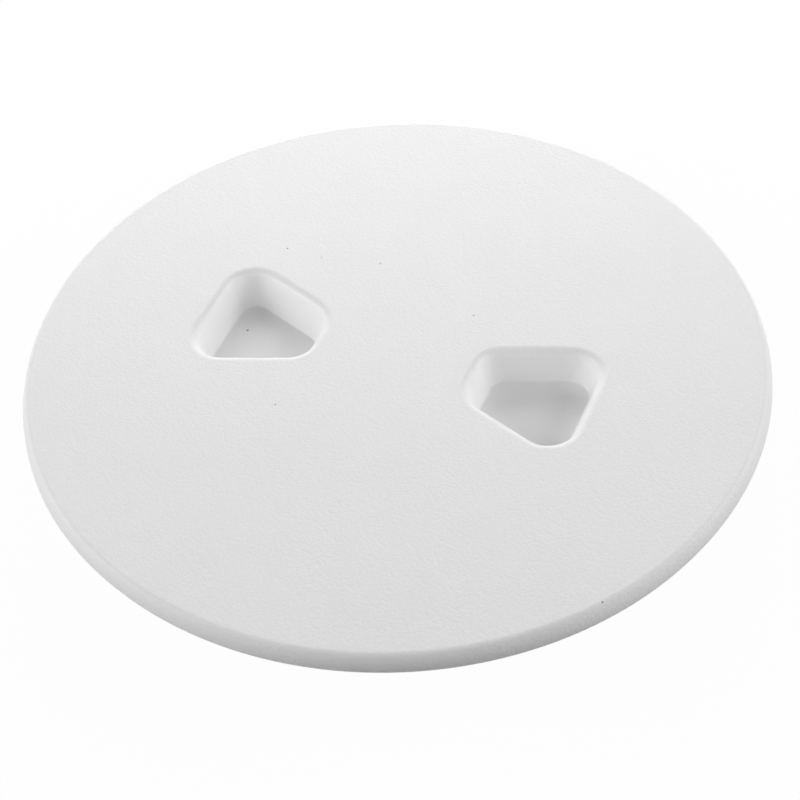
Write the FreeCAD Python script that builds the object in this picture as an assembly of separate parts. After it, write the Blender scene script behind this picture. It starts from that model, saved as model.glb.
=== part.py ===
"""Deck inspection plate: a screw-in cover, its seal and the ring that is fixed round a hole in a deck.

Millimetres. +Z points up, away from the deck. The origin is the centre of the screw circle on the deck's
surface, which is the underside of the ring's flange. The two finger pockets lie on the X axis.
"""
import FreeCAD, Part
import math
import os

V = FreeCAD.Vector
UP = V(0, 0, 1)
CENTRE = V(0, 0, 0)

# Opening and deck ring
clear_opening_d = 151.0
barrel_wall = 3.5
barrel_depth = 22.0
barrel_foot_chamfer = 1.5
flange_width = 14.6
flange_thickness = 3.5
flange_edge_chamfer = 0.8
screw_count = 6
screw_edge_distance = 7.1
screw_hole_d = 4.8
screw_head_d = 9.4
countersink_angle = 90.0

# Coarse screw thread, one ridge in the barrel and one on the cover's skirt
thread_lead = 5.0
thread_turns = 1.5
thread_height = 2.0
thread_flank_angle = 20.0
thread_radial_clearance = 0.5
thread_axial_clearance = 0.3
thread_land = 0.6
thread_start_angle = 40.0
thread_run_out = 9.0

# Cover, whose rim hangs round the flange and rolls over in two arcs at its top edge
plate_thickness = 2.5
rim_depth = 5.6
rim_wall = 2.4
rim_top_round = 1.6
rim_side_round = 6.0
rim_roll_slope = 50.0
rim_foot_chamfer = 0.5
rim_clearance = 2.0
cover_clearance = 0.3
skirt_wall = 3.0
skirt_lead_in = 1.5
skirt_foot_chamfer = 1.0
skirt_root_gusset = 1.5

# Finger pockets, each a trapezoid with its long side outwards. Fingers push its steep wall to open the cover
pocket_inner_x = 22.1
pocket_outer_x = 54.5
pocket_inner_half_width = 8.5
pocket_outer_half_width = 20.5
pocket_outer_corner = 8.0
pocket_steep_corner = 7.0
pocket_slack_corner = 9.5
pocket_depth = 10.2
pocket_steep_draft = 4.0
pocket_slack_draft = 21.0
pocket_outer_draft = 17.0
pocket_inner_draft = 16.0
pocket_mouth_round = 2.6
pocket_floor_round = 0.6
pocket_wall = 2.2
cup_foot_chamfer = 1.5

# Ribs under the cover
rib_count = 10
rib_width = 1.8
rib_depth = 4.5
hub_d = 16.0

# Cover seal, an O-ring in the corner between the skirt and the plate
seal_section_d = 3.5
seal_clearance = 0.15
seal_groove_depth = 0.6

# Radii and heights that follow from the sizes above
ring_crest_r = clear_opening_d / 2
barrel_inner_r = ring_crest_r + thread_height
barrel_outer_r = barrel_inner_r + barrel_wall
skirt_r = ring_crest_r - thread_radial_clearance
skirt_crest_r = barrel_inner_r - thread_radial_clearance
skirt_inner_r = skirt_r - skirt_wall
flange_r = barrel_outer_r + flange_width
screw_circle_r = flange_r - screw_edge_distance
rim_inner_r = flange_r + rim_clearance
cover_r = rim_inner_r + rim_wall

flange_top_z = flange_thickness
plate_bottom_z = flange_top_z + cover_clearance
cover_top_z = plate_bottom_z + plate_thickness
rim_bottom_z = cover_top_z - rim_depth
groove_r = skirt_r - seal_groove_depth
groove_bottom_z = plate_bottom_z - seal_section_d - 2 * seal_clearance
seal_centre_r = groove_r + seal_clearance + seal_section_d / 2
seal_centre_z = plate_bottom_z - seal_clearance - seal_section_d / 2

# The seat for the seal is a 45 degree cone, along which r - z stays the same
seat_offset = seal_centre_r - seal_centre_z + (seal_section_d / 2 + seal_clearance) * math.sqrt(2)
seat_bottom_z = barrel_inner_r - seat_offset
seat_top_r = seat_offset + flange_top_z

# The cover's ridge lies half a lead under the ring's ridge, and so pulls the seal onto its seat
flank = math.tan(math.radians(thread_flank_angle))
ridge_mid_width = thread_lead / 2 - thread_axial_clearance
ridge_root_width = ridge_mid_width + flank * thread_height
ring_ridge_end_z = seat_bottom_z - thread_land - ridge_root_width / 2
ring_ridge_start_z = ring_ridge_end_z - thread_lead * thread_turns
skirt_ridge_start_z = ring_ridge_start_z - thread_lead / 2
skirt_bottom_z = skirt_ridge_start_z - ridge_root_width / 2 - skirt_lead_in


def rounded_wire(corners, place):
    """A closed wire through corners (a, b, radius), each rounded by an arc. place turns (a, b) into a point."""
    edges = []
    last = None
    first = None
    count = len(corners)
    for i in range(count):
        a, b, radius = corners[i]
        before = corners[i - 1]
        after = corners[(i + 1) % count]
        corner = V(a, b, 0)
        to_before = (V(before[0], before[1], 0) - corner).normalize()
        to_after = (V(after[0], after[1], 0) - corner).normalize()
        if radius > 0:
            half_angle = to_before.getAngle(to_after) / 2
            reach = radius / math.tan(half_angle)
            bisector = (to_before + to_after).normalize()
            middle = corner + bisector * (radius / math.sin(half_angle) - radius)
            points = [corner + to_before * reach, middle, corner + to_after * reach]
        else:
            points = [corner]
        points = [place(p.x, p.y) for p in points]
        if last is not None and last.distanceToPoint(points[0]) > 1e-6:
            edges.append(Part.LineSegment(last, points[0]).toShape())
        if radius > 0:
            edges.append(Part.Arc(*points).toShape())
        first = first or points[0]
        last = points[-1]
    if last.distanceToPoint(first) > 1e-6:
        edges.append(Part.LineSegment(last, first).toShape())
    return Part.Wire(edges)


def turned(corners):
    """A solid turned about Z from its half section, whose corners are (radius, height, rounding)."""
    section = Part.Face(rounded_wire(corners, lambda r, z: V(r, 0, z)))
    return section.revolve(CENTRE, UP, 360)


def thread_ridge(root_r, crest_r, start_z):
    """A helical ridge of trapezoidal section, its root sunk a little into the wall that carries it."""
    outward = 1 if crest_r > root_r else -1
    sunk = thread_height / 4
    sunk_r = root_r - outward * sunk
    crest_half = (ridge_root_width - 2 * flank * thread_height) / 2
    sunk_half = ridge_root_width / 2 + flank * sunk
    section = Part.makePolygon([
        V(sunk_r, 0, -sunk_half),
        V(crest_r, 0, -crest_half),
        V(crest_r, 0, crest_half),
        V(sunk_r, 0, sunk_half),
        V(sunk_r, 0, -sunk_half),
    ])
    path = Part.Wire(Part.makeHelix(thread_lead, thread_lead * thread_turns, root_r).Edges)
    ridge = path.makePipeShell([section], True, True)
    start = run_out(root_r, crest_r, 1)
    end = run_out(root_r, crest_r, -1)
    end.rotate(CENTRE, UP, 360 * thread_turns)
    end.translate(V(0, 0, thread_lead * thread_turns))
    ridge = ridge.cut([start, end])
    ridge.rotate(CENTRE, UP, thread_start_angle)
    ridge.translate(V(0, 0, start_z))
    return ridge


def run_out(root_r, crest_r, side):
    """The block cut from a ridge's end so that it slopes to its root. side is 1 at the ridge's start, else -1."""
    turn = thread_run_out / root_r
    root = V(root_r, 0, -thread_lead / 2)
    crest = V(crest_r * math.cos(turn), side * crest_r * math.sin(turn), -thread_lead / 2)
    over = (crest - root) / 4
    clear = V(2 * (crest_r - root_r), 0, 0)
    near = root - over
    far = crest + over
    face = Part.Face(Part.makePolygon([near, far, far + clear, near + clear, near]))
    return face.extrude(UP * thread_lead)


def countersunk_hole(x, y):
    """A through hole for a countersunk screw, its head flush with the flange's top."""
    head_depth = (screw_head_d - screw_hole_d) / 2 / math.tan(math.radians(countersink_angle / 2))
    shank = Part.makeCylinder(screw_hole_d / 2, 2 * flange_thickness, V(x, y, -flange_thickness / 2))
    head = Part.makeCone(screw_hole_d / 2, screw_head_d / 2, head_depth, V(x, y, flange_top_z - head_depth))
    mouth = Part.makeCylinder(screw_head_d / 2, flange_thickness, V(x, y, flange_top_z))
    return shank.fuse([head, mouth])


def pocket_outline(depth, wall):
    """The pocket's rounded outline at a depth under the cover's top, or the cup's with a wall round it."""
    steep, slack, outer, inner = [
        depth * math.tan(math.radians(draft)) - wall
        for draft in (pocket_steep_draft, pocket_slack_draft, pocket_outer_draft, pocket_inner_draft)
    ]
    leg = math.atan2(pocket_outer_half_width - pocket_inner_half_width, pocket_outer_x - pocket_inner_x)

    def half_width(x, inset):
        return pocket_inner_half_width + (x - pocket_inner_x) * math.tan(leg) - inset / math.cos(leg)

    x_in = pocket_inner_x + inner
    x_out = pocket_outer_x - outer
    corners = [
        (x_in, -half_width(x_in, slack), pocket_slack_corner - (slack + inner) / 2),
        (x_out, -half_width(x_out, slack), pocket_outer_corner - (slack + outer) / 2),
        (x_out, half_width(x_out, steep), pocket_outer_corner - (steep + outer) / 2),
        (x_in, half_width(x_in, steep), pocket_steep_corner - (steep + inner) / 2),
    ]
    return rounded_wire(corners, lambda x, y: V(x, y, cover_top_z - depth))


def pocket_shape(wall, top_z):
    """The pocket's hollow, or with a wall the cup round it, both narrowing from top_z to the floor."""
    top = pocket_outline(cover_top_z - top_z, wall)
    floor = pocket_outline(pocket_depth + wall, wall)
    well = Part.makeLoft([top, floor], True, True)
    floor_z = cover_top_z - pocket_depth - wall
    floor_edges = [e for e in well.Edges if all(abs(v.Z - floor_z) < 1e-6 for v in e.Vertexes)]
    if wall > 0:
        return well.makeChamfer(cup_foot_chamfer, floor_edges)
    return well.makeFillet(pocket_floor_round, floor_edges)


def both_sides(shape):
    """The shape, and its copy turned half round the cover's centre."""
    other = shape.copy()
    other.rotate(CENTRE, UP, 180)
    return [shape, other]


def make_deck_ring():
    ring = turned([
        (flange_r, 0, 0),
        (flange_r, flange_top_z - flange_edge_chamfer, 0),
        (flange_r - flange_edge_chamfer, flange_top_z, 0),
        (seat_top_r, flange_top_z, 0),
        (barrel_inner_r, seat_bottom_z, 0),
        (barrel_inner_r, -barrel_depth, 0),
        (barrel_outer_r - barrel_foot_chamfer, -barrel_depth, 0),
        (barrel_outer_r, -barrel_depth + barrel_foot_chamfer, 0),
        (barrel_outer_r, 0, 0),
    ])
    ring = ring.fuse(thread_ridge(barrel_inner_r, ring_crest_r, ring_ridge_start_z))
    step = 360 / screw_count
    for i in range(screw_count):
        angle = math.radians(step * (i + 0.5))
        x = screw_circle_r * math.cos(angle)
        y = screw_circle_r * math.sin(angle)
        ring = ring.cut(countersunk_hole(x, y))
    return ring


def rim_roll():
    """The two corners of the cover's section where its top edge rolls over: a tight arc, then a slack one."""
    slope = math.radians(rim_roll_slope)
    top_reach = rim_top_round * math.tan(slope / 2)
    side_reach = rim_side_round * math.tan((math.pi / 2 - slope) / 2)
    across = (top_reach + side_reach) * math.cos(slope)
    down = (top_reach + side_reach) * math.sin(slope)
    return [
        (cover_r - across, cover_top_z, rim_top_round),
        (cover_r, cover_top_z - down, rim_side_round),
    ]


def make_cover():
    cover = turned([
        (0, cover_top_z, 0),
        *rim_roll(),
        (cover_r, rim_bottom_z + rim_foot_chamfer, 0),
        (cover_r - rim_foot_chamfer, rim_bottom_z, 0),
        (rim_inner_r, rim_bottom_z, 0),
        (rim_inner_r, plate_bottom_z, 0),
        (groove_r, plate_bottom_z, 0),
        (groove_r, groove_bottom_z, 0),
        (skirt_r, groove_bottom_z, 0),
        (skirt_r, skirt_bottom_z + skirt_foot_chamfer, 0),
        (skirt_r - skirt_foot_chamfer, skirt_bottom_z, 0),
        (skirt_inner_r, skirt_bottom_z, 0),
        (skirt_inner_r, plate_bottom_z - skirt_root_gusset, 0),
        (skirt_inner_r - skirt_root_gusset, plate_bottom_z, 0),
        (0, plate_bottom_z, 0),
    ])
    into_plate = plate_thickness / 2
    rib_top_z = plate_bottom_z + into_plate
    ribs = []
    for i in range(rib_count):
        rib = Part.makeBox(
            skirt_inner_r + skirt_wall / 2,
            rib_width,
            rib_depth + into_plate,
            V(0, -rib_width / 2, rib_top_z - rib_depth - into_plate),
        )
        rib.rotate(CENTRE, UP, 360 / rib_count * i)
        ribs.append(rib)
    hub = Part.makeCylinder(hub_d / 2, rib_depth + into_plate, V(0, 0, rib_top_z - rib_depth - into_plate))
    cups = both_sides(pocket_shape(pocket_wall, rib_top_z))
    cover = cover.fuse(ribs + [hub] + cups)
    cover = cover.fuse(thread_ridge(skirt_r, skirt_crest_r, skirt_ridge_start_z))
    cover = cover.cut(both_sides(pocket_shape(0, cover_top_z)))
    cover = cover.removeSplitter()
    mouth_edges = [e for e in cover.Edges if is_pocket_mouth(e)]
    return cover.makeFillet(pocket_mouth_round, mouth_edges)


def is_pocket_mouth(edge):
    """True for an edge round a pocket in the cover's top face."""
    flat = all(abs(v.Z - cover_top_z) < 1e-6 for v in edge.Vertexes)
    return flat and edge.BoundBox.DiagonalLength < cover_r


def make_seal():
    section = Part.Circle(V(seal_centre_r, 0, seal_centre_z), V(0, 1, 0), seal_section_d / 2)
    skin = Part.SurfaceOfRevolution(section, CENTRE, UP).toShape()
    return Part.Solid(Part.Shell([skin]))


pieces = {
    "deck_ring": make_deck_ring(),
    "cover": make_cover(),
    "cover_seal": make_seal(),
}

os.makedirs("parts", exist_ok=True)
for name, shape in pieces.items():
    solids = shape.Solids
    if len(solids) != 1 or not solids[0].isValid():
        raise ValueError(f"{name} is not one valid solid")
    solids[0].exportStep(f"parts/{name}.step")
    box = solids[0].BoundBox
    print(f"{name}: {solids[0].Volume:.0f} mm3, z {box.ZMin:.2f} to {box.ZMax:.2f}, {len(solids[0].Faces)} faces")
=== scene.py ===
import math

import bmesh
import bpy
from mathutils import Matrix, Vector


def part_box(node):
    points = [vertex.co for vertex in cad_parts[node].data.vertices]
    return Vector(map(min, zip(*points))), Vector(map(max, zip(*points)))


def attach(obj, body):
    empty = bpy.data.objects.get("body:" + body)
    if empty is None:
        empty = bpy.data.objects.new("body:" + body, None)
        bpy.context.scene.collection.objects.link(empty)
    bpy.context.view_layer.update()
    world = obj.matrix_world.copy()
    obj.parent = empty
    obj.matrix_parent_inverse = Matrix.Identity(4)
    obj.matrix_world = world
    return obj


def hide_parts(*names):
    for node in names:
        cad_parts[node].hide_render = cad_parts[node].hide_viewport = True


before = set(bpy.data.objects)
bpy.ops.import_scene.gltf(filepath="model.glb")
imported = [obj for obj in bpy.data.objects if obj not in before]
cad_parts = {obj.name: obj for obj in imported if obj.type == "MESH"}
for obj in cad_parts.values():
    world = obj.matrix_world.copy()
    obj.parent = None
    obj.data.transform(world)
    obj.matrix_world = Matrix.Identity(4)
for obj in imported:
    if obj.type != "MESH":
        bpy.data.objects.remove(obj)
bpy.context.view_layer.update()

mm = 0.001


# Deck ring: one moulding of smooth white plastic, bedded on sealant and screwed down round the hole in
# the deck. Its barrel goes down through the deck and carries the coarse ridge that the cover screws
# under, and six countersunk holes in its flange take the fixing screws.
opening_r = 75.5 * mm
barrel_wall = 3.5 * mm
barrel_foot_chamfer = 1.5 * mm
flange_width = 14.6 * mm
flange_thickness = 3.5 * mm
flange_edge_chamfer = 0.8 * mm
screw_count = 6
screw_edge_distance = 7.1 * mm
screw_hole_r = 2.4 * mm
screw_head_r = 4.7 * mm

thread_lead = 5.0 * mm
thread_turns = 1.5
thread_height = 2.0 * mm
thread_sunk = 0.5 * mm
thread_flank = math.tan(math.radians(20))
thread_play = 0.5 * mm
thread_end_play = 0.3 * mm
thread_land = 0.6 * mm
thread_start = math.radians(40)
thread_run_out = 9.0 * mm

seal_section_r = 1.75 * mm
seal_play = 0.15 * mm
seal_groove = 0.6 * mm
cover_play = 0.3 * mm

barrel_inner_r = opening_r + thread_height
barrel_outer_r = barrel_inner_r + barrel_wall
barrel_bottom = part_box("deck_ring")[0].z
flange_r = barrel_outer_r + flange_width
skirt_r = opening_r - thread_play
plate_bottom = flange_thickness + cover_play
seal_r = skirt_r - seal_groove + seal_play + seal_section_r
seal_z = plate_bottom - seal_play - seal_section_r
seat_offset = seal_r - seal_z + (seal_section_r + seal_play) * math.sqrt(2)
seat_bottom = barrel_inner_r - seat_offset
ridge_width = thread_lead / 2 - thread_end_play + thread_flank * thread_height
ring_ridge_z = seat_bottom - thread_land - ridge_width / 2 - thread_lead * thread_turns

steps_round = 360
thread_steps = 240
hole_sides = 48
sharp_angle = math.radians(28)
ring_white = 0.82
satin_finish = 0.34
satin_finest = 0.28
skin_grain = 0.6 * mm
skin_depth = 0.03 * mm
skin_strength = 0.15


class Wire:
    """The end of a wire in a node tree: a sum on wires adds the Math nodes that work it out."""

    def __init__(self, tree, socket):
        self.tree = tree
        self.socket = socket

    def math(self, operation, *values):
        inputs = dict(enumerate(values))
        return node(self.tree, "ShaderNodeMath", {"operation": operation}, inputs)

    def __add__(self, other):
        return self.math("ADD", self, other)

    def __radd__(self, other):
        return self.math("ADD", other, self)

    def __sub__(self, other):
        return self.math("SUBTRACT", self, other)

    def __rsub__(self, other):
        return self.math("SUBTRACT", other, self)

    def __mul__(self, other):
        return self.math("MULTIPLY", self, other)

    def __rmul__(self, other):
        return self.math("MULTIPLY", other, self)

    def __truediv__(self, other):
        return self.math("DIVIDE", self, other)

    def __gt__(self, other):
        return self.math("GREATER_THAN", self, other)

    def ramp(self, low, high):
        """0 below low, 1 above high and a smooth rise between them."""
        settings = {"interpolation_type": "SMOOTHSTEP"}
        inputs = {"Value": self, "From Min": low, "From Max": high}
        return node(self.tree, "ShaderNodeMapRange", settings, inputs)


def node(tree, kind, settings, inputs, out=0):
    """Adds one node, with its settings set first, then its sockets' values or wires. Gives one output."""
    made = tree.nodes.new(kind)
    for name, value in settings.items():
        setattr(made, name, value)
    for key, value in inputs.items():
        for one in value if isinstance(value, list) else [value]:
            if isinstance(one, Wire):
                tree.links.new(one.socket, made.inputs[key])
            else:
                made.inputs[key].default_value = one
    return Wire(tree, made.outputs[out])


def shape_tree(name, sizes):
    """A shape's node tree with one named input for each size. Gives the tree and the inputs' wires."""
    tree = bpy.data.node_groups.new(name, "GeometryNodeTree")
    tree.interface.new_socket("Geometry", in_out="OUTPUT", socket_type="NodeSocketGeometry")
    tree.interface.new_socket("Geometry", in_out="INPUT", socket_type="NodeSocketGeometry")
    kinds = {int: "NodeSocketInt", float: "NodeSocketFloat", bpy.types.Object: "NodeSocketObject"}
    for label, value in sizes.items():
        tree.interface.new_socket(label, in_out="INPUT", socket_type=kinds[type(value)])
    start = tree.nodes.new("NodeGroupInput")
    wires = {socket.name: Wire(tree, socket) for socket in start.outputs if socket.name}
    return tree, wires


def finish_tree(tree, shape, material):
    """Ends a shape's tree with real geometry in its material."""
    real = node(tree, "GeometryNodeRealizeInstances", {}, {0: shape})
    painted = node(tree, "GeometryNodeSetMaterial", {}, {"Geometry": real, "Material": material})
    end = tree.nodes.new("NodeGroupOutput")
    tree.links.new(painted.socket, end.inputs[0])


def piece_from_tree(name, tree, sizes, start_mesh):
    """Runs a shape's tree on a mesh and gives the result as a plain piece with no modifier."""
    source = bpy.data.objects.new(name + "_source", start_mesh)
    bpy.context.scene.collection.objects.link(source)
    modifier = source.modifiers.new("shape", "NODES")
    modifier.node_group = tree
    for item in tree.interface.items_tree:
        if item.in_out == "INPUT" and item.name in sizes:
            modifier[item.identifier] = sizes[item.name]
    depsgraph = bpy.context.evaluated_depsgraph_get()
    mesh = bpy.data.meshes.new_from_object(source.evaluated_get(depsgraph))
    bpy.data.objects.remove(source)
    mesh.name = name
    mesh.shade_smooth()
    mesh.set_sharp_from_angle(angle=sharp_angle)
    piece = bpy.data.objects.new(name, mesh)
    bpy.context.scene.collection.objects.link(piece)
    return piece


def circle_row(mesh, r, z):
    """A row of points round the Z axis."""
    turns = [2 * math.pi / steps_round * i for i in range(steps_round)]
    return [mesh.verts.new((r * math.cos(turn), r * math.sin(turn), z)) for turn in turns]


def bridge(mesh, one, other):
    """Faces between two closed rows with as many points each."""
    for i in range(len(one)):
        mesh.faces.new((one[i - 1], one[i], other[i], other[i - 1]))


def closed_mesh(name, mesh):
    """The finished Blender mesh. Its faces point outwards, which a volume above zero confirms."""
    bmesh.ops.recalc_face_normals(mesh, faces=mesh.faces)
    if mesh.calc_volume(signed=True) < 0:
        bmesh.ops.reverse_faces(mesh, faces=mesh.faces)
    made = bpy.data.meshes.new(name)
    mesh.to_mesh(made)
    mesh.free()
    return made


def merged(tree, operation, inputs):
    """Solids joined, or cut by others, into one closed skin."""
    return node(tree, "GeometryNodeMeshBoolean", {"operation": operation, "solver": "MANIFOLD"}, inputs)


def thread_ridge(tree, root_r, side, start_z):
    """A helical ridge of trapezoidal section that slopes to its root at both ends. side is 1 if it stands
    outwards from its root and -1 if inwards."""
    tall = thread_height + thread_sunk
    sunk_half = ridge_width / 2 + thread_flank * thread_sunk
    crest_half = ridge_width / 2 - thread_flank * thread_height
    helix = node(tree, "GeometryNodeCurveSpiral", {}, {
        "Resolution": thread_steps,
        "Rotations": thread_turns,
        "Start Radius": root_r,
        "End Radius": root_r,
        "Height": thread_lead * thread_turns,
    })
    helix = node(tree, "GeometryNodeSetCurveNormal", {"mode": "Z_UP"}, {"Curve": helix})
    along = node(tree, "GeometryNodeSplineParameter", {}, {}, "Length")
    helix = node(tree, "GeometryNodeStoreNamedAttribute", {"data_type": "FLOAT", "domain": "POINT"},
                 {"Geometry": helix, "Name": "along", "Value": along})
    place = node(tree, "GeometryNodeInputPosition", {}, {})
    height = node(tree, "ShaderNodeSeparateXYZ", {}, {0: place}, "Z")
    helix = node(tree, "GeometryNodeStoreNamedAttribute", {"data_type": "FLOAT", "domain": "POINT"},
                 {"Geometry": helix, "Name": "middle", "Value": height})
    section = node(tree, "GeometryNodeCurvePrimitiveQuadrilateral", {"mode": "RECTANGLE"},
                   {"Width": 2 * tall, "Height": 2 * sunk_half})
    ridge = node(tree, "GeometryNodeCurveToMesh", {}, {
        "Curve": helix,
        "Profile Curve": section,
        "Fill Caps": True,
    })
    length = math.hypot(2 * math.pi * root_r, thread_lead) * thread_turns
    along = node(tree, "GeometryNodeInputNamedAttribute", {"data_type": "FLOAT"}, {"Name": "along"})
    middle = node(tree, "GeometryNodeInputNamedAttribute", {"data_type": "FLOAT"}, {"Name": "middle"})
    to_end = along.math("MINIMUM", along, length - along)
    reach = to_end.math("MINIMUM", to_end / thread_run_out, 1.0)
    standing = (reach * thread_height + thread_sunk) / tall
    x = node(tree, "ShaderNodeSeparateXYZ", {}, {0: place}, "X")
    y = node(tree, "ShaderNodeSeparateXYZ", {}, {0: place}, "Y")
    r = x.math("SQRT", x * x + y * y)
    crest = (r - root_r) * side > 0.0
    standing = crest * standing
    new_r = root_r - side * thread_sunk + side * tall * standing
    half = sunk_half + (crest_half - sunk_half) * standing
    new_z = middle + height.math("SIGN", height - middle) * half
    moved = node(tree, "ShaderNodeCombineXYZ", {}, {0: x / r * new_r, 1: y / r * new_r, 2: new_z})
    ridge = node(tree, "GeometryNodeSetPosition", {}, {"Geometry": ridge, "Position": moved})
    for name in ("along", "middle"):
        ridge = node(tree, "GeometryNodeRemoveAttribute", {}, {"Geometry": ridge, "Name": name})
    return node(tree, "GeometryNodeTransform", {}, {
        "Geometry": ridge,
        "Translation": (0, 0, start_z),
        "Rotation": (0, 0, thread_start),
    })


def round_the_axis(tree, shape, count, r, first_turn):
    """Copies of a shape, evenly spaced on a circle about Z and turned to face outwards."""
    spots = node(tree, "GeometryNodeMeshCircle", {}, {"Vertices": count, "Radius": r})
    index = node(tree, "GeometryNodeInputIndex", {}, {})
    turn = index * (2 * math.pi) / count
    facing = node(tree, "ShaderNodeCombineXYZ", {}, {2: turn})
    copies = node(tree, "GeometryNodeInstanceOnPoints", {},
                  {"Points": spots, "Instance": shape, "Rotation": facing})
    return node(tree, "GeometryNodeTransform", {}, {"Geometry": copies, "Rotation": (0, 0, first_turn)})


def plastic(name, base, roughness):
    """A material of one grey and one finish. Gives it, its tree, its shader and its place wire."""
    material = bpy.data.materials.new(name)
    material.use_nodes = True
    tree = material.node_tree
    shader = tree.nodes["Principled BSDF"]
    shader.inputs["Base Color"].default_value = (base, base, base, 1)
    shader.inputs["Roughness"].default_value = roughness
    place = node(tree, "ShaderNodeTexCoord", {}, {}, "Object")
    return material, tree, shader, place


def noise(tree, place, size, detail=2.0):
    """A soft random pattern from 0 to 1, about size across."""
    return node(tree, "ShaderNodeTexNoise", {}, {"Vector": place, "Scale": 1 / size, "Detail": detail})


ring_plastic, tree, shader, place = plastic("ring_plastic", ring_white, satin_finish)
flow = noise(tree, place, 40 * mm)
polish = noise(tree, place, 3 * mm)
tree.links.new((flow * 0.10 + polish * 0.06 + satin_finest).socket, shader.inputs["Roughness"])
bump = node(tree, "ShaderNodeBump", {}, {
    "Strength": skin_strength,
    "Distance": skin_depth,
    "Height": noise(tree, place, skin_grain),
}, "Normal")
tree.links.new(bump.socket, shader.inputs["Normal"])

ring_mesh = bmesh.new()
ring_section = [
    (flange_r, 0),
    (flange_r, flange_thickness - flange_edge_chamfer),
    (flange_r - flange_edge_chamfer, flange_thickness),
    (seat_offset + flange_thickness, flange_thickness),
    (barrel_inner_r, seat_bottom),
    (barrel_inner_r, barrel_bottom),
    (barrel_outer_r - barrel_foot_chamfer, barrel_bottom),
    (barrel_outer_r, barrel_bottom + barrel_foot_chamfer),
    (barrel_outer_r, 0),
]
rows = [circle_row(ring_mesh, r, z) for r, z in ring_section]
for i in range(len(rows)):
    bridge(ring_mesh, rows[i - 1], rows[i])

ring_sizes = {"Screw holes": screw_count, "Hole radius": screw_hole_r, "Head radius": screw_head_r}
tree, wires = shape_tree("threaded_ring", ring_sizes)
shank = node(tree, "GeometryNodeMeshCylinder", {}, {
    "Vertices": hole_sides,
    "Radius": wires["Hole radius"],
    "Depth": 4 * flange_thickness,
})
head_rise = 0.5 * mm
head_depth = screw_head_r - screw_hole_r
head = node(tree, "GeometryNodeMeshCone", {}, {
    "Vertices": hole_sides,
    "Radius Top": wires["Head radius"] + head_rise,
    "Radius Bottom": wires["Hole radius"] - head_rise,
    "Depth": head_depth + 2 * head_rise,
})
head = node(tree, "GeometryNodeTransform", {}, {
    "Geometry": head,
    "Translation": (0, 0, flange_thickness - head_depth - head_rise),
})
drill = merged(tree, "UNION", {"Mesh 2": [shank, head]})
screw_circle_r = flange_r - screw_edge_distance
drills = round_the_axis(tree, drill, wires["Screw holes"], screw_circle_r, math.pi / screw_count)
ridge = thread_ridge(tree, barrel_inner_r, -1, ring_ridge_z)
body = merged(tree, "UNION", {"Mesh 2": [wires["Geometry"], ridge]})
body = merged(tree, "DIFFERENCE", {"Mesh 1": body, "Mesh 2": drills})
finish_tree(tree, body, ring_plastic)
ring = piece_from_tree("threaded_ring", tree, ring_sizes, closed_mesh("ring_section", ring_mesh))
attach(ring, "ring")
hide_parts("deck_ring")


# Cover seal: a black rubber O-ring in the groove at the root of the cover's skirt. It stays on the cover
# and is pressed onto the ring's cone as the cover is screwed home.
seal_section_sides = 40
rubber_black = 0.03
rubber_finish = 0.6
rubber_finest = 0.5
bloom_share = 0.25
seal_rubber, tree, shader, place = plastic("seal_rubber", rubber_black, rubber_finish)
dust = noise(tree, place, 2 * mm, 4.0)
tree.links.new((dust * 0.2 + rubber_finest).socket, shader.inputs["Roughness"])
bloom = node(tree, "ShaderNodeMix", {"data_type": "RGBA"}, {
    "Factor": dust.ramp(0.5, 0.75) * bloom_share,
    "A": (0.022, 0.022, 0.023, 1),
    "B": (0.075, 0.075, 0.075, 1),
}, 2)
tree.links.new(bloom.socket, shader.inputs["Base Color"])

seal_sizes = {"Ring radius": seal_r, "Section radius": seal_section_r, "Height": seal_z}
tree, wires = shape_tree("o_ring", seal_sizes)
path = node(tree, "GeometryNodeCurvePrimitiveCircle", {}, {
    "Resolution": steps_round,
    "Radius": wires["Ring radius"],
})
section = node(tree, "GeometryNodeCurvePrimitiveCircle", {}, {
    "Resolution": seal_section_sides,
    "Radius": wires["Section radius"],
})
seal_shape = node(tree, "GeometryNodeCurveToMesh", {}, {"Curve": path, "Profile Curve": section})
lift = node(tree, "ShaderNodeCombineXYZ", {}, {2: wires["Height"]})
seal_shape = node(tree, "GeometryNodeTransform", {}, {"Geometry": seal_shape, "Translation": lift})
finish_tree(tree, seal_shape, seal_rubber)
seal = piece_from_tree("o_ring", tree, seal_sizes, bpy.data.meshes.new("o_ring_start"))
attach(seal, "seal")
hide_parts("cover_seal")


# Cover: one white moulding with a fine pebbled grain on its flat top and rolled rim. Two smooth finger
# pockets are sunk in it to turn it by, and under it are the threaded skirt, ten ribs and a hub.
plate_thickness = 2.5 * mm
rim_depth = 5.6 * mm
rim_wall = 2.4 * mm
rim_top_round = 1.6 * mm
rim_side_round = 6.0 * mm
rim_roll_slope = math.radians(50)
rim_foot_chamfer = 0.5 * mm
rim_foot_rise = 1.2 * mm
rim_clearance = 2.0 * mm
skirt_wall = 3.0 * mm
skirt_lead_in = 1.5 * mm
skirt_foot_chamfer = 1.0 * mm
skirt_gusset = 1.5 * mm
rib_count = 10
rib_width = 1.8 * mm
rib_depth = 4.5 * mm
hub_r = 8.0 * mm
hub_sides = 96

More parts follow.
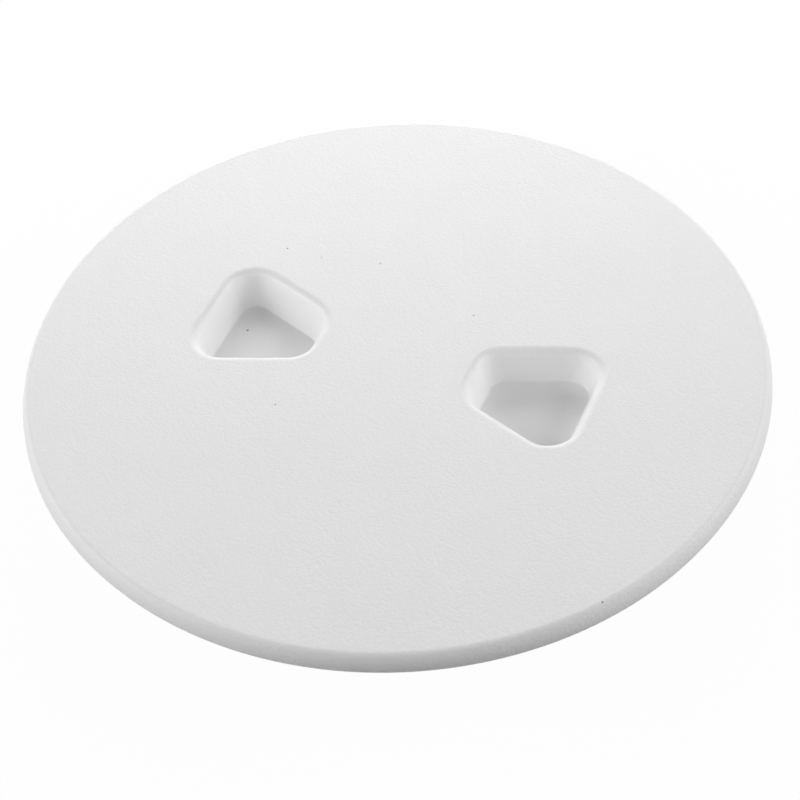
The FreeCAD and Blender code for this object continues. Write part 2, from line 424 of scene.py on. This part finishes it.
pocket_inner_x = 22.1 * mm
pocket_outer_x = 54.5 * mm
pocket_inner_half = 8.5 * mm
pocket_outer_half = 20.5 * mm
pocket_outer_corner = 8.0 * mm
pocket_steep_corner = 7.0 * mm
pocket_slack_corner = 9.5 * mm
pocket_depth = 10.2 * mm
steep_draft = math.radians(4)
slack_draft = math.radians(21)
outer_draft = math.radians(17)
inner_draft = math.radians(16)
mouth_round = 2.6 * mm
floor_round = 0.6 * mm
pocket_wall = 2.2 * mm
cup_foot_chamfer = 1.5 * mm

top = plate_bottom + plate_thickness
rim_bottom = top - rim_depth
rim_inner_r = flange_r + rim_clearance
cover_r = rim_inner_r + rim_wall
groove_r = skirt_r - seal_groove
groove_bottom = plate_bottom - 2 * (seal_section_r + seal_play)
skirt_inner_r = skirt_r - skirt_wall
cover_ridge_z = ring_ridge_z - thread_lead / 2
skirt_bottom = cover_ridge_z - ridge_width / 2 - skirt_lead_in
crisp = 0.15 * mm

cover_white = 0.9
cover_cloud_white = 0.92
dust_and_shade_grey = 0.25
pebble_pitch = 0.78 * mm
pebble_share = 0.7
pit_share = 0.6
grain_depth = 0.1 * mm
grain_end = 0.75 * mm
grain_roughness = 0.42
smooth_roughness = 0.32
smooth_skin = 0.5 * mm
smooth_skin_share = 0.08


def arc(centre_a, centre_b, radius, first, last, steps):
    """Points of an arc in the plane of a section, angles in radians."""
    turns = [first + (last - first) * i / steps for i in range(steps + 1)]
    return [(centre_a + radius * math.cos(t), centre_b + radius * math.sin(t)) for t in turns]


def rim_roll():
    """The section of the rim's rolled edge: a tight arc off the top, then a slack one down the side."""
    level = math.pi / 2
    side_x = cover_r - rim_side_round
    top_x = side_x + (rim_side_round - rim_top_round) * math.sin(rim_roll_slope)
    top_z = top - rim_top_round
    side_z = top_z - (rim_side_round - rim_top_round) * math.cos(rim_roll_slope)
    tight = arc(top_x, top_z, rim_top_round, level, level - rim_roll_slope, 8)
    slack = arc(side_x, side_z, rim_side_round, level - rim_roll_slope, 0, 10)
    return tight + slack[1:]


def hollow_inset(draft, depth):
    """How far a pocket's wall stands in from its sharp mouth at a depth, with both its ends rounded."""
    lean = math.tan((math.pi / 2 - draft) / 2)
    if depth < mouth_round * (1 - math.sin(draft)):
        return math.sqrt(mouth_round ** 2 - (mouth_round - depth) ** 2) - mouth_round * lean
    height = pocket_depth - depth
    if height < floor_round * (1 - math.sin(draft)):
        foot = pocket_depth * math.tan(draft) + floor_round * lean
        return foot - math.sqrt(floor_round ** 2 - (floor_round - height) ** 2)
    return depth * math.tan(draft)


def sharp_inset(draft, depth):
    """The same for a wall with sharp ends."""
    return depth * math.tan(draft)


def outline(inset, depth, grow=0.0, steps=14):
    """A pocket's outline at a depth, drawn in further by grow: a trapezoid, steep on its +Y side."""
    steep, slack, outer, inner = (
        inset(draft, depth) + grow for draft in (steep_draft, slack_draft, outer_draft, inner_draft)
    )
    leg = math.atan2(pocket_outer_half - pocket_inner_half, pocket_outer_x - pocket_inner_x)
    quarter = math.pi / 2
    x_in = pocket_inner_x + inner
    x_out = pocket_outer_x - outer
    halves = []
    for wall, inner_corner in ((steep, pocket_steep_corner), (slack, pocket_slack_corner)):
        half_in, half_out = (
            pocket_inner_half + (x - pocket_inner_x) * math.tan(leg) - wall / math.cos(leg)
            for x in (x_in, x_out)
        )
        r_in = inner_corner - (wall + inner) / 2
        r_out = pocket_outer_corner - (wall + outer) / 2
        out_y = half_out - r_out * math.tan((quarter + leg) / 2)
        in_y = half_in - r_in * math.tan((quarter - leg) / 2)
        half = arc(x_out - r_out, out_y, r_out, 0, quarter + leg, steps)
        halves.append(half + arc(x_in + r_in, in_y, r_in, quarter + leg, 2 * quarter, steps))
    points = halves[0] + [(x, -y) for x, y in reversed(halves[1])]
    return [(x, y, top - depth) for x, y in points]


def hollow_outlines():
    """The outlines of a pocket's hollow, from the flat top down to its floor."""
    turns = [math.radians(t) for t in range(0, 91, 9)]
    lip = [mouth_round * (1 - math.cos(t)) for t in turns]
    foot = [pocket_depth - floor_round * (1 - math.cos(t)) for t in turns[::-2]]
    depths = lip + [mouth_round + crisp, pocket_depth - floor_round - crisp] + foot
    rows = [outline(hollow_inset, depth) for depth in depths]
    return [outline(hollow_inset, 0, -crisp)] + rows + [outline(hollow_inset, pocket_depth, crisp)]


def cup_outlines():
    """The outlines of the cup round the hollow, from the plate down to its chamfered foot."""
    foot = pocket_depth + pocket_wall
    depths = [(plate_thickness, 0), (foot - cup_foot_chamfer, 0), (foot, cup_foot_chamfer)]
    return [outline(sharp_inset, depth, grow - pocket_wall) for depth, grow in depths]


def sink(mesh, outlines, side):
    """Outlines bridged into a skin that is closed at the bottom. side is 1 on the right, -1 on the left."""
    rows = []
    for points in outlines:
        rows.append([mesh.verts.new((side * x, side * y, z)) for x, y, z in points])
    for one, other in zip(rows, rows[1:]):
        bridge(mesh, one, other)
    mesh.faces.new(rows[-1])
    return rows[0]


def fill_flat(mesh, rows):
    """Fills the level face between a round row and the rows of the two pockets in it."""
    edges = []
    for row in rows:
        for i in range(len(row)):
            edges.append(mesh.edges.get((row[i - 1], row[i])) or mesh.edges.new((row[i - 1], row[i])))
    bmesh.ops.triangle_fill(mesh, use_beauty=True, use_dissolve=False, edges=edges, normal=(0, 0, 1))


cover_mesh = bmesh.new()
roll = rim_roll()
cover_section = [
    (roll[0][0] - crisp, top),
    *roll,
    (cover_r, rim_bottom + rim_foot_rise),
    (cover_r - rim_foot_chamfer, rim_bottom),
    (rim_inner_r, rim_bottom),
    (rim_inner_r, plate_bottom),
    (groove_r, plate_bottom),
    (groove_r, groove_bottom),
    (skirt_r, groove_bottom),
    (skirt_r, skirt_bottom + skirt_foot_chamfer),
    (skirt_r - skirt_foot_chamfer, skirt_bottom),
    (skirt_inner_r, skirt_bottom),
    (skirt_inner_r, plate_bottom - skirt_gusset),
    (skirt_inner_r - skirt_gusset, plate_bottom),
]
rows = [circle_row(cover_mesh, r, z) for r, z in cover_section]
for one, other in zip(rows, rows[1:]):
    bridge(cover_mesh, one, other)
mouths = [sink(cover_mesh, hollow_outlines(), side) for side in (1, -1)]
cups = [sink(cover_mesh, cup_outlines(), side) for side in (1, -1)]
fill_flat(cover_mesh, [rows[0]] + mouths)
fill_flat(cover_mesh, [rows[-1]] + cups)

core_mesh = bmesh.new()
for side in (1, -1):
    core = [outline(sharp_inset, depth, -pocket_wall / 2) for depth in (0, pocket_depth)]
    core_mesh.faces.new(sink(core_mesh, core, side))
cores = bpy.data.objects.new("pocket_cores", closed_mesh("pocket_cores", core_mesh))
bpy.context.scene.collection.objects.link(cores)

cover_plastic, tree, shader, place = plastic("cover_plastic", cover_white, grain_roughness)
x, y, z = (node(tree, "ShaderNodeSeparateXYZ", {}, {0: place}, axis) for axis in "XYZ")
r = x.math("SQRT", x * x + y * y)
on_top = z.ramp(top - grain_end - 0.15 * mm, top - grain_end)
outside = r.ramp(rim_inner_r + 0.1 * mm, rim_inner_r + 0.3 * mm)
above_foot = z.ramp(rim_bottom + rim_foot_rise - 0.3 * mm, rim_bottom + rim_foot_rise)
grained = on_top.math("MAXIMUM", on_top, outside * above_foot)
pebbles = node(tree, "ShaderNodeTexVoronoi", {"feature": "F1"}, {
    "Vector": place,
    "Scale": 1 / pebble_pitch,
})
pits = noise(tree, place, pebble_pitch / 3)
grain = (1 - pebbles) * pebble_share + pits * pit_share
skin = noise(tree, place, smooth_skin) * smooth_skin_share
bump = node(tree, "ShaderNodeBump", {}, {
    "Strength": 1.0,
    "Distance": grain_depth,
    "Height": skin + grained * (grain - skin),
}, "Normal")
tree.links.new(bump.socket, shader.inputs["Normal"])
polish = noise(tree, place, 6 * mm)
roughness = smooth_roughness + polish * 0.06 + grained * (grain_roughness - smooth_roughness)
tree.links.new(roughness.socket, shader.inputs["Roughness"])

# Dark specks: dust on the top and in a pocket, and a painted shadow dot on the rim: x, y, z and radius in
# mm.
dust_and_shade_specks = [
    (-44.9, 28.0, 6.3, 0.26),
    (-34.2, 27.9, 6.3, 0.16),
    (-17.5, 31.2, 6.3, 0.22),
    (14.6, 20.7, 6.3, 0.23),
    (-22.0, -28.2, 6.3, 0.22),
    (78.2, -59.1, 6.1, 0.26),
    (-46.6, 3.2, -3.9, 0.34),
    # Painted shadow, not dust: a dark dot on the rim's edge where shade falls.
    (95.7, 29.4, 3.4, 0.45),
]
clear_of_dust_and_shade = None
for speck_x, speck_y, speck_z, speck_r in dust_and_shade_specks:
    spot = (speck_x * mm, speck_y * mm, speck_z * mm)
    gap = node(tree, "ShaderNodeVectorMath", {"operation": "DISTANCE"}, {0: place, 1: spot}, "Value")
    beyond = gap.ramp(0.6 * speck_r * mm, 1.2 * speck_r * mm)
    clear_of_dust_and_shade = clear_of_dust_and_shade * beyond if clear_of_dust_and_shade else beyond
cloud = noise(tree, place, 25 * mm)
white_tone = node(tree, "ShaderNodeMix", {"data_type": "RGBA"}, {
    "Factor": cloud,
    "A": (cover_white, cover_white, cover_white, 1),
    "B": (cover_cloud_white, cover_cloud_white, cover_cloud_white, 1),
}, 2)
# The specks' grey darkens the white: dust on the top and in a pocket, painted shadow on the rim.
colour = node(tree, "ShaderNodeMix", {"data_type": "RGBA"}, {
    "Factor": clear_of_dust_and_shade,
    "A": (dust_and_shade_grey, dust_and_shade_grey, dust_and_shade_grey, 1),
    "B": white_tone,
}, 2)
tree.links.new(colour.socket, shader.inputs["Base Color"])

cover_sizes = {"Ribs": rib_count, "Rib width": rib_width, "Hub radius": hub_r, "Pocket cores": cores}
tree, wires = shape_tree("grained_cover", cover_sizes)
into_plate = plate_thickness / 2
rib_length = skirt_inner_r + skirt_wall / 2
rib_tall = rib_depth + into_plate
rib_z = plate_bottom - rib_depth + rib_tall / 2
size = node(tree, "ShaderNodeCombineXYZ", {}, {0: rib_length, 1: wires["Rib width"], 2: rib_tall})
rib = node(tree, "GeometryNodeMeshCube", {}, {"Size": size})
ribs = round_the_axis(tree, rib, wires["Ribs"], rib_length / 2, 0.0)
hub = node(tree, "GeometryNodeMeshCylinder", {}, {
    "Vertices": hub_sides,
    "Radius": wires["Hub radius"],
    "Depth": rib_tall,
})
web = merged(tree, "UNION", {"Mesh 2": [ribs, hub]})
web = node(tree, "GeometryNodeTransform", {}, {"Geometry": web, "Translation": (0, 0, rib_z)})
hollow = node(tree, "GeometryNodeObjectInfo", {}, {"Object": wires["Pocket cores"]}, "Geometry")
web = merged(tree, "DIFFERENCE", {"Mesh 1": web, "Mesh 2": hollow})
ridge = thread_ridge(tree, skirt_r, 1, cover_ridge_z)
body = merged(tree, "UNION", {"Mesh 2": [wires["Geometry"], web, ridge]})
finish_tree(tree, body, cover_plastic)
cover = piece_from_tree("grained_cover", tree, cover_sizes, closed_mesh("cover_section", cover_mesh))
bpy.data.objects.remove(cores)
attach(cover, "cover")
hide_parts("cover")


# The view: the plate seen from 45 degrees above by a camera half a metre away, turned so that the line
# through both pockets runs down to the right. "right" and "away" are the photograph's own directions.
view_turn = math.radians(25.7)
view_elevation = math.radians(45.14)
view_roll = math.radians(-3.87)
view_distance = 504.8 * mm
view_aim_right = 0.55 * mm
view_aim_away = -17.37 * mm
picture_width = 800
focal_pixels = 1887
right = Vector((math.cos(view_turn), math.sin(view_turn), 0))
away = Vector((-math.sin(view_turn), math.cos(view_turn), 0))
up = Vector((0, 0, 1))
plate_centre = Vector((0, 0, top))

stand = plate_centre + view_distance * (up * math.sin(view_elevation) - away * math.cos(view_elevation))
aim = plate_centre + right * view_aim_right + away * view_aim_away
forward = (aim - stand).normalized()
level = forward.cross(up).normalized()
tilted = level.cross(forward)
across = level * math.cos(view_roll) + tilted * math.sin(view_roll)
upward = tilted * math.cos(view_roll) - level * math.sin(view_roll)
lens = bpy.data.cameras.new("camera")
lens.sensor_width = 36
lens.lens = lens.sensor_width * focal_pixels / picture_width
lens.clip_start = 10 * mm
camera = bpy.data.objects.new("camera", lens)
bpy.context.scene.collection.objects.link(camera)
camera.matrix_world = Matrix.Translation(stand) @ Matrix((across, upward, -forward)).transposed().to_4x4()
bpy.context.scene.camera = camera


# The room: a dark floor and a dark room that the picture shows as white, and large soft lamps round the
# plate. Most of the light comes from low on the right and the left and from behind the plate.
def seen_directly(tree):
    """1 where the camera sees a surface directly, in a reflection or through glass, and 0 elsewhere."""
    path = node(tree, "ShaderNodeLightPath", {}, {}, "Is Camera Ray")
    glossy = Wire(tree, path.socket.node.outputs["Is Glossy Ray"])
    through = Wire(tree, path.socket.node.outputs["Is Transmission Ray"])
    return path.math("MAXIMUM", path.math("MAXIMUM", path, glossy), through)


floor_shade = 0.06
floor_roughness = 0.9
floor_white_share = 0.97
floor_material = bpy.data.materials.new("floor")
floor_material.use_nodes = True
tree = floor_material.node_tree
paint = tree.nodes["Principled BSDF"]
paint.inputs["Roughness"].default_value = floor_roughness
seen = seen_directly(tree)
floor_colour = node(tree, "ShaderNodeMix", {"data_type": "RGBA"}, {
    "Factor": seen,
    "A": (floor_shade, floor_shade, floor_shade, 1),
    "B": (1, 1, 1, 1),
}, 2)
tree.links.new(floor_colour.socket, paint.inputs["Base Color"])
white = node(tree, "ShaderNodeEmission", {}, {"Strength": 1.0})
mixed = node(tree, "ShaderNodeMixShader", {}, {
    0: seen * floor_white_share,
    1: Wire(tree, paint.outputs["BSDF"]),
    2: white,
})
tree.links.new(mixed.socket, tree.nodes["Material Output"].inputs["Surface"])
floor_half = 4.0
floor_mesh = bpy.data.meshes.new("floor")
floor_signs = ((-1, -1), (1, -1), (1, 1), (-1, 1))
floor_corners = [(x * floor_half, y * floor_half, barrel_bottom) for x, y in floor_signs]
floor_mesh.from_pydata(floor_corners, [], [(0, 1, 2, 3)])
floor_mesh.materials.append(floor_material)
floor = bpy.data.objects.new("floor", floor_mesh)
bpy.context.scene.collection.objects.link(floor)

world = bpy.data.worlds.new("room")
bpy.context.scene.world = world
world.use_nodes = True
tree = world.node_tree
room = tree.nodes["Background"]
tree.links.new(seen_directly(tree).socket, room.inputs["Strength"])
room.inputs["Color"].default_value = (1, 1, 1, 1)

lamp_width = 0.6
# For each lamp: turn from the picture's right and rise, both in degrees, distance in metres and watts.
lamps = {
    "right": (0, 24, 0.9, 4.85),
    "back_near": (90, 15, 0.5, 1.8),
    "back": (90, 20, 0.9, 2.2),
    "left": (180, 20, 0.9, 4.33),
    "front_left": (225, 30, 0.9, 1.8),
    "front": (270, 30, 0.9, 0.3),
    "front_right": (315, 30, 0.9, 0.88),
}
for name, (turn, elevation, distance, power) in lamps.items():
    lamp = bpy.data.lights.new(name, "AREA")
    lamp.size = lamp_width
    lamp.energy = power
    placed = bpy.data.objects.new(name, lamp)
    bpy.context.scene.collection.objects.link(placed)
    level = right * math.cos(math.radians(turn)) + away * math.sin(math.radians(turn))
    direction = level * math.cos(math.radians(elevation)) + up * math.sin(math.radians(elevation))
    placed.location = plate_centre + direction * distance
    placed.rotation_euler = direction.to_track_quat("Z", "Y").to_euler()

bpy.context.scene.view_settings.view_transform = "Standard"
